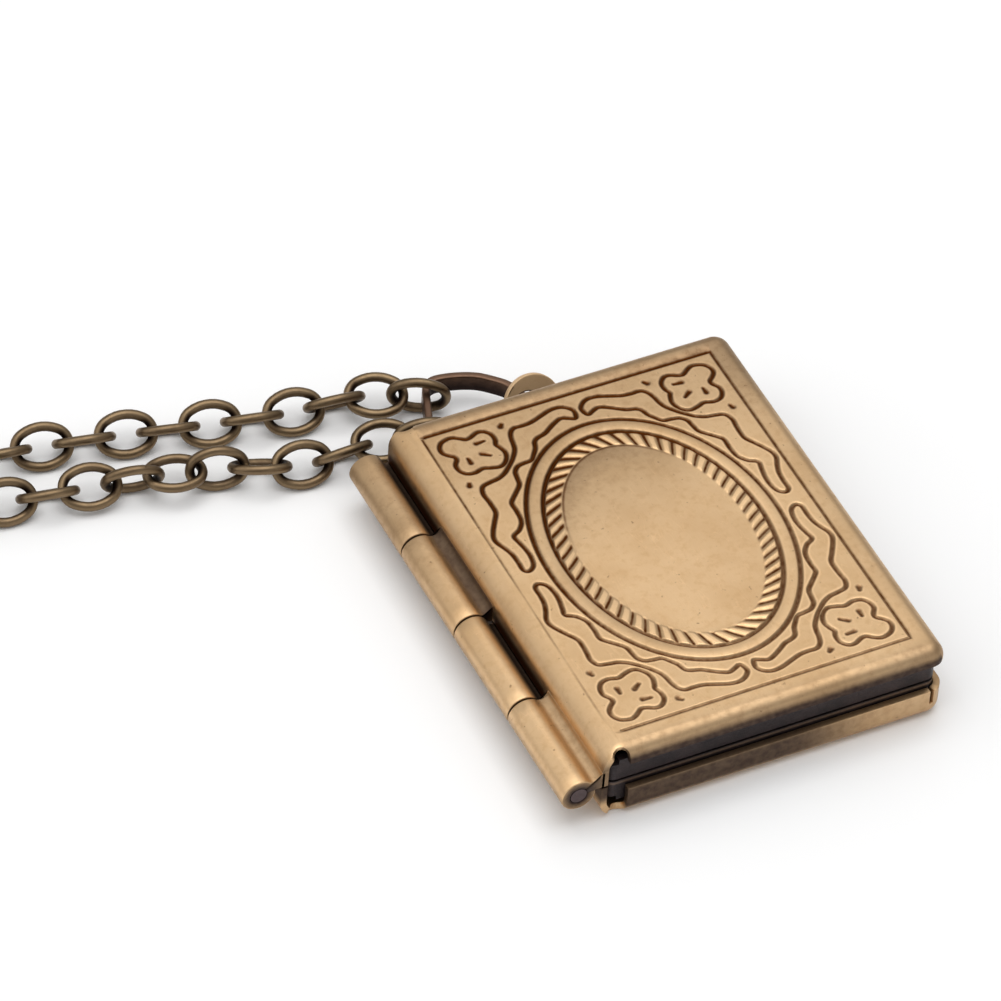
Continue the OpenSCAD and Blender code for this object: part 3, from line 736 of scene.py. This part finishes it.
def knuckle_span(i):
    """Low and high ends of knuckle i of four, counted from the chain end."""
    length = 2 * BARREL_HALF / 4
    high = BARREL_HALF - i * length - (KNUCKLE_GAP / 2 if i > 0 else 0)
    low = BARREL_HALF - (i + 1) * length + (KNUCKLE_GAP / 2 if i < 3 else 0)
    return low, high


# The eye, the ring and the chain

EYE_X, EYE_Y, EYE_Z, EYE_LEAN, EYE_R = -0.45, 14.64, 1.46, 60, 1.625
HOLE_X, HOLE_Y, HOLE_R, TONGUE_W = -0.35, -0.15, 0.9, 2.4


def ring_eye():
    """The round tab that holds the ring: rows go from the outer edge over one face, down the hole
    and back over the other face, each row part way between the outer circle and the hole's. Its
    tongue is a strip that runs out of the floor sheet and bends up into the tab."""
    turn = np.linspace(0, 2 * np.pi, 73)[:-1]
    away = unit(turn)
    outer, hole = EYE_R * away, HOLE_R * away + [HOLE_X, HOLE_Y]
    soft, half = 0.06, SHEET / 2
    turns = np.radians([0, 30, 60, 90])
    edge = [(soft * (1 - math.sin(a)), half - soft * (1 - math.cos(a))) for a in turns]
    rows = [(0.0, shift, z) for shift, z in edge[::-1]]
    rows += [(share, 0.0, half) for share in (0.1, 0.25, 0.5, 0.75, 0.9)]
    rows += [(1.0, -shift, z) for shift, z in edge]
    rows += [(share, shift, -z) for share, shift, z in rows[::-1]]
    flat = np.array([np.c_[(1 - share) * outer + share * hole - away * shift, np.full(len(turn), z)]
                     for share, shift, z in rows]).reshape(-1, 3)
    lean, tab_low, strip_low = math.radians(EYE_LEAN), 0.01, 0.012
    y, z = rotated(flat[:, 1], flat[:, 2], lean)
    tab = np.stack([EYE_X + flat[:, 0], EYE_Y + y, np.maximum(EYE_Z + z, tab_low)], 1)
    share = np.repeat([r[0] for r in rows], len(turn))
    tab_marks = {"tarnish": 0.8 * (share > 0.99), "wear": 0.4 * (share < 0.01)}
    bend, reach, half_t = 0.5, 0.5, 0.16
    bend_y = EYE_Y - EYE_Z / math.tan(lean) + 0.12 - bend * math.sin(lean)
    slopes = [0.0, *np.linspace(0, lean, 7), lean]
    path = [(bend_y + bend * math.sin(a), half + bend - bend * math.cos(a)) for a in slopes[1:-1]]
    y, z = path[-1]
    path = [(CORE_Y, half), *path, (y + reach * math.cos(lean), z + reach * math.sin(lean))]
    edges = ((-1, -1), (1, -1), (1, 1), (-1, 1))
    strip = np.array([[(EYE_X + a * TONGUE_W / 2, y - b * half_t * math.sin(t), z + b * half_t * math.cos(t))
                       for a, b in edges] for (y, z), t in zip(path, slopes)])
    strip[..., 2] = np.maximum(strip[..., 2], strip_low)
    last = 4 * len(path) - 1
    caps = [[0, 1, 2, 3], [last, last - 1, last - 2, last - 3]]
    strip_faces = np.concatenate([grid_faces(len(path), 4, wrap_columns=True), caps])
    points, faces, marks = joined([(tab, grid_faces(len(rows), len(turn), True, True)[:, ::-1], tab_marks),
                                   (strip, strip_faces, {"tarnish": 0.5})])
    return make_piece("ring_eye", points, faces, eye_gold, "root", marks, weld=0)


# The ring's middle line in plan, clockwise from the far left corner: columns x, y
BAND_LINE = [
    (-5.42, 17.45), (-5.15, 17.86), (-4.72, 18.03), (-4.2, 18), (-3.58, 17.86), (-2.97, 17.65),
    (-2.35, 17.33), (-1.74, 16.8), (-1.2, 16.2), (-0.9, 15.5), (-0.76, 14.8), (-0.82, 13.88),
    (-1.46, 13.62), (-2.3, 13.55), (-3.1, 13.48), (-3.95, 13.48), (-4.8, 13.53), (-5.6, 13.68),
    (-6.22, 14.02), (-6.43, 14.6), (-6.25, 15.3), (-5.97, 16.02), (-5.7, 16.75)]
BAND_T, BAND_H, BAND_Z = 0.42, 1.06, 1.33


def bail_band():
    """The flat ring: a rounded upright rectangle carried clockwise along a smooth closed curve,
    with its outer face on the curve's left. Painted shade darkens its inner face and its lower half,
    and a painted highlight lies along its upper rims."""
    middle = smooth_loop(BAND_LINE, 6)
    way = np.roll(middle, -1, 0) - np.roll(middle, 1, 0)
    out = np.stack([-way[:, 1], way[:, 0]], 1) / np.hypot(*way.T)[:, None]
    soft = 0.11
    corner = np.radians(np.linspace(0, 90, 5))
    half_t, half_h = BAND_T / 2 - soft, BAND_H / 2 - soft
    section = np.concatenate([
        [sx * half_t, sz * half_h] + soft * unit(corner + q)
        for q, sx, sz in ((0, 1, 1), (np.pi / 2, -1, 1), (np.pi, -1, -1), (1.5 * np.pi, 1, -1))])
    x = middle[:, :1] + section[:, 0] * out[:, :1]
    y = middle[:, 1:] + section[:, 0] * out[:, 1:]
    z = np.broadcast_to(BAND_Z + section[:, 1][None], x.shape)
    # painted shade on the inner face and the lower half, a painted highlight along the upper rims
    inner = section[:, 0] < -half_t - 0.3 * soft
    rim = np.exp(-((section[:, 1] - half_h - 0.6 * soft) / 0.07) ** 2)
    marks = {"tarnish": np.tile(0.85 * inner * (1 - rim) + 0.3 * (section[:, 1] < 0), len(x)),
             "wear": np.tile(0.8 * rim, len(x))}
    return make_piece("bail_band", np.stack([x, y, z], -1), grid_faces(*x.shape, True, True)[:, ::-1],
                      ring_bronze, "root", marks)


LINK_L, LINK_WIRE, ARC_STEP = 3.5, 0.53, 1.142
LINK_A = (LINK_L - LINK_WIRE) / 2
LINK_END_R = LINK_A - ARC_STEP / 2
LINK_SIDE_R, LINK_SIDE_C = LINK_END_R + ARC_STEP, ARC_STEP * math.cos(math.radians(30))
LINK_B = LINK_SIDE_R - LINK_SIDE_C
PITCH_GOAL, LOOP_R, CLASP_LINKS, REST_ROLL = 2.28, 38, 5, 45
# Where the strands lie near the locket, from the link in the ring outwards: columns x, y
UPPER_NEAR = [
    (-5.755, 17.622), (-7.834, 18.545), (-10.047, 19.073), (-12.309, 19.317), (-17.2, 20.3),
    (-21.8, 21.35), (-26.3, 22.2), (-31, 22.8), (-36, 23)]
LOWER_NEAR = [
    (-6.766, 14.811), (-9.002, 15.233), (-11.272, 15.371), (-13.543, 15.518), (-17.9, 16.75),
    (-22.4, 17.8), (-27, 18.7), (-31.5, 19.3), (-36, 19.5)]
# How the first links lie: columns roll, turn off the strand's own direction, lift off the table
UPPER_LIE = [
    (-82.8, -2.1, 0.011), (25, -3.2, 0.232), (-51.8, 2.2, 0.035), (43, 1.8, -0.001)]
LOWER_LIE = [
    (-81.5, -0.4, 0.011), (22.5, -2.3, 0.232), (-51, 3.8, 0.03), (44, 4.3, -0.001), (-35, -4, 0.12),
    (-106, 0, 0), (-178, 0, 0.26), (-250, 0, 0), (34, 0, 0.1)]


def through(points):
    """An open Catmull-Rom curve through the points, without its last point. Its ends take their
    slopes from a point mirrored beyond them."""
    p = np.array(points, float)
    p = np.concatenate([[2 * p[0] - p[1]], p, [2 * p[-1] - p[-2]]])
    return catmull_rom(p[:-3], p[1:-2], p[2:-1], p[3:], 6)


def arc_points(centre, radius, start, end, count):
    """Points on an arc, from start to just before end, in degrees."""
    a = np.radians(start + (end - start) * np.arange(count) / count)
    return centre + radius * unit(a)


def chain_route():
    """The whole loop's middle line: the two near strands, two runs that part, and a round end with
    the clasp in its middle, mirror-like about the loop's own axis."""
    near_x, axis_y, gap, part_r, part, half_run = -36, 21.25, 1.75, 30, 22, 9
    c, s = math.cos(math.radians(part)), math.sin(math.radians(part))
    run_down = (half_run + LOOP_R * c - part_r * (1 - c) - gap) / s
    loop_x = near_x - part_r * s - run_down * c - LOOP_R * s
    half = np.concatenate([arc_points((near_x, gap + part_r), part_r, -90, -90 - part, 8),
                           arc_points((loop_x, half_run), LOOP_R, 90 - part, 180, 24),
                           [(loop_x - LOOP_R, half_run), (loop_x - LOOP_R, 0)]])
    mirrored = half * [1, -1]
    return np.concatenate([through(UPPER_NEAR), half + [0, axis_y], mirrored[::-1] + [0, axis_y],
                           through(LOWER_NEAR)[::-1]])


def oval_link(sides, wire_sides):
    """One flat link as (x, y, z, marks). Its middle line is four arcs whose way out has one angle all
    the way round, and its wire is a circle carried along that line. The wire is painted dark as shade
    at the ends, where they lie inside the next links, and on its inner side, and it is lighter above
    and below, partly worn and partly a painted highlight."""
    facing = np.radians((np.arange(sides) + 0.5) * 360 / sides)[:, None]
    around = (np.arange(wire_sides) * 2 * np.pi / wire_sides)[None]
    flat = np.abs(np.sin(facing)) > math.sin(math.radians(60))
    middle_x = np.where(flat, 0, np.sign(np.cos(facing)) * ARC_STEP / 2)
    middle_y = np.where(flat, -np.sign(np.sin(facing)) * LINK_SIDE_C, 0)
    reach = np.where(flat, LINK_SIDE_R, LINK_END_R) + LINK_WIRE / 2 * np.cos(around)
    x, y = middle_x + reach * np.cos(facing), middle_y + reach * np.sin(facing)
    inner, upper = np.broadcast_to(-np.cos(around), x.shape), np.broadcast_to(np.sin(around), x.shape)
    # painted shade at the link's ends, where they lie inside the next links, and on the wire's inner side;
    # the wire is lighter above and below, partly worn and partly a painted highlight
    end_shade = step(0.7, 1.25, np.abs(x)) * step(-0.35, 0.55, inner)
    marks = {"patina": 0.95 * end_shade, "wear": 0.4 * step(0.2, 1, np.abs(upper)) * (1 - end_shade),
             "tarnish": 0.45 * step(0.3, 1.0, inner)}
    return x, y, LINK_WIRE / 2 * upper, marks


def chain_strand(name, route, first, ahead, count, pitch, lie, near):
    """One strand of oval links, a pitch apart along the route from the first one's place on it;
    ahead is 1 or -1, the way along the route that leads to the ring. Each link is rolled about its
    own length, turned along the strand and lifted so that it lies on the table. The near links have
    a finer mesh, and those past the lie table roll to one side and the other in turn."""
    along = length_along(route)

    def place(s):
        return np.array([np.interp(s, along, route[:, 0]), np.interp(s, along, route[:, 1])])

    fine, plain = oval_link(44, 14), oval_link(16, 6)
    parts = []
    for i in range(count):
        x, y, z, marks = fine if i < near else plain
        roll, turn_off, lift = lie[i] if i < len(lie) else (REST_ROLL * (-1) ** (i - len(lie) + 1), 0, 0)
        r = math.radians(roll)
        y, z = rotated(y, z, r)
        s = first - ahead * i * pitch
        way = (place(s + pitch / 2) - place(s - pitch / 2)) * ahead
        h = math.atan2(way[1], way[0]) + math.radians(turn_off)
        x, y = rotated(x, y, h)
        rest = LINK_WIRE / 2 + max(LINK_B * math.sin(math.radians(REST_ROLL)) + 0.02,
                                   LINK_B * abs(math.sin(r)) + 0.01)
        points = np.stack([x + place(s)[0], y + place(s)[1], z + rest + lift], -1)
        parts.append((points, grid_faces(*x.shape, True, True), marks))
    points, faces, marks = joined(parts)
    return make_piece(name, points, faces, chain_brass, "root", marks, weld=0)


# The pieces

# The corners of the engraving. Columns: name, side of X, side of Y, then for the flower and for the
# scroll: shift x, shift y, stretch x, stretch y and turn in degrees
CORNERS = [
    ("top_left", -1, 1, (0.0, 0.01, 0.982, 0.973, 0.2), (-0.02, 0.03, 0.987, 1.0, -0.3)),
    ("top_right", 1, 1, (-0.06, -0.05, 0.977, 0.987, -0.4), (-0.07, -0.01, 0.986, 0.987, -0.7)),
    ("bottom_left", -1, -1, (-0.19, 0.04, 0.985, 1.014, 0.4), (-0.14, 0.04, 0.995, 0.981, -1.1)),
    ("bottom_right", 1, -1, (-0.08, 0.10, 0.995, 0.999, 0.9), (-0.10, 0.02, 0.994, 0.984, 0.5))]
# The knuckles, counted from the chain end. Columns: up or down, body, how much painted shade lies in the
# hollow
KNUCKLES = [(-1, "root", 0.9), (1, "front", 0.85), (-1, "root", 0.9), (1, "front", 0.3)]

for name, side_x, side_y, flower_fit, scroll_fit in CORNERS:
    corner_panel("engraved_corner_" + name, side_x, side_y, flower_fit, scroll_fit)
medallion()
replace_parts(front_rim(), "front_cover")
front_lining()
for i, (up, body, valley) in enumerate(KNUCKLES):
    name = "%s_knuckle_%d" % ("front" if up > 0 else "back", i + 1)
    knuckle_piece(name, *knuckle_span(i), up, body, valley)
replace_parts(back_shell(), "back_cover")
ring_eye()
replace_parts(bail_band(), "bail_ring")

route = chain_route()
route_len = length_along(route)[-1]
link_count = round(route_len / PITCH_GOAL)
pitch = route_len / link_count
upper_count = (link_count + 1 - CLASP_LINKS) // 2
lower_count = link_count + 1 - CLASP_LINKS - upper_count
upper = chain_strand("chain_upper_links", route, 0.0, -1, upper_count, pitch, UPPER_LIE, near=13)
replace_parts(upper, "chain_upper")
lower = chain_strand("chain_lower_links", route, route_len, 1, lower_count, pitch, LOWER_LIE, near=14)
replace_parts(lower, "chain_lower")

# Nodes kept from the part's source
for node, finish in (("front_page_frame", page_frame_shade), ("back_page_frame", page_frame_shade),
                     ("hinge_pin", pin_steel), ("clasp", chain_brass)):
    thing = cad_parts[node]
    thing.data.materials.clear()
    thing.data.materials.append(finish)

# Floor and light
floor_mesh = bpy.data.meshes.new("floor")
floor_mesh.from_pydata([(-3, -3, 0), (3, -3, 0), (3, 3, 0), (-3, 3, 0)], [], [(0, 1, 2, 3)])
floor = bpy.data.objects.new("floor", floor_mesh)
scene.collection.objects.link(floor)
pale = Nodes("pale_floor")
pale.shader.inputs["Base Color"].default_value = (0.92, 0.92, 0.92, 1)
pale.shader.inputs["Roughness"].default_value = 0.8
floor_mesh.materials.append(pale.material)

# A white room, a little brighter overhead than at the horizon
world = bpy.data.worlds.new("studio")
scene.world = world
world.use_nodes = True
sky = world.node_tree
sky.nodes["Background"].inputs[0].default_value = (1, 1, 1, 1)
height = sky.nodes.new("ShaderNodeSeparateXYZ")
sky.links.new(sky.nodes.new("ShaderNodeTexCoord").outputs["Generated"], height.inputs[0])
grade = sky.nodes.new("ShaderNodeMapRange")
sky.links.new(height.outputs[2], grade.inputs[0])
for socket, value in zip(list(grade.inputs)[1:5], (0.0, 1.0, 0.36, 0.5)):
    socket.default_value = value
sky.links.new(grade.outputs[0], sky.nodes["Background"].inputs[1])


def softbox(name, azimuth, elevation, size, brightness):
    """A square area light a metre from the locket, in a direction in degrees, and facing it. Its
    power grows with its area, so that a box of any size looks as bright as its brightness says."""
    a, e = math.radians(azimuth), math.radians(elevation)
    place = Vector((math.cos(a) * math.cos(e), math.sin(a) * math.cos(e), math.sin(e)))
    light = bpy.data.lights.new(name, "AREA")
    light.shape = "SQUARE"
    light.size = size
    light.energy = brightness * 4 * size * size
    thing = bpy.data.objects.new(name, light)
    scene.collection.objects.link(thing)
    thing.location = place
    thing.rotation_euler = (-place).to_track_quat("-Z", "Y").to_euler()


softbox("key_softbox", 45, 58, 0.9, 0.36)
softbox("left_softbox", 170, 40, 1.15, 0.66)
softbox("front_softbox", -70, 13, 0.6, 0.5)
softbox("top_softbox", 0, 89, 0.9, 1.6)

# The camera, fitted to the engraved frame line: its place in metres, its axes, and how far it is
# turned about its own line of sight
CAMERA_PLACE, CAMERA_ROLL = (-0.14529, -0.24788, 0.29259), math.radians(4.083)
CAMERA_BACK = Vector((-0.33953, -0.62181, 0.70573))
CAMERA_RIGHT = Vector((0.87767, -0.47924, 0))
CAMERA_UP = Vector((0.33821, 0.61940, 0.70846))
camera = bpy.data.cameras.new("camera")
camera.lens = 281.14
camera.sensor_width = 36
camera.clip_start = 0.01
view = bpy.data.objects.new("camera", camera)
scene.collection.objects.link(view)
turned = Matrix((*rotated(CAMERA_RIGHT, CAMERA_UP, -CAMERA_ROLL), CAMERA_BACK)).transposed().to_4x4()
view.matrix_world = Matrix.Translation(CAMERA_PLACE) @ turned
scene.camera = view
scene.view_settings.view_transform = "Standard"

bpy.context.view_layer.update()
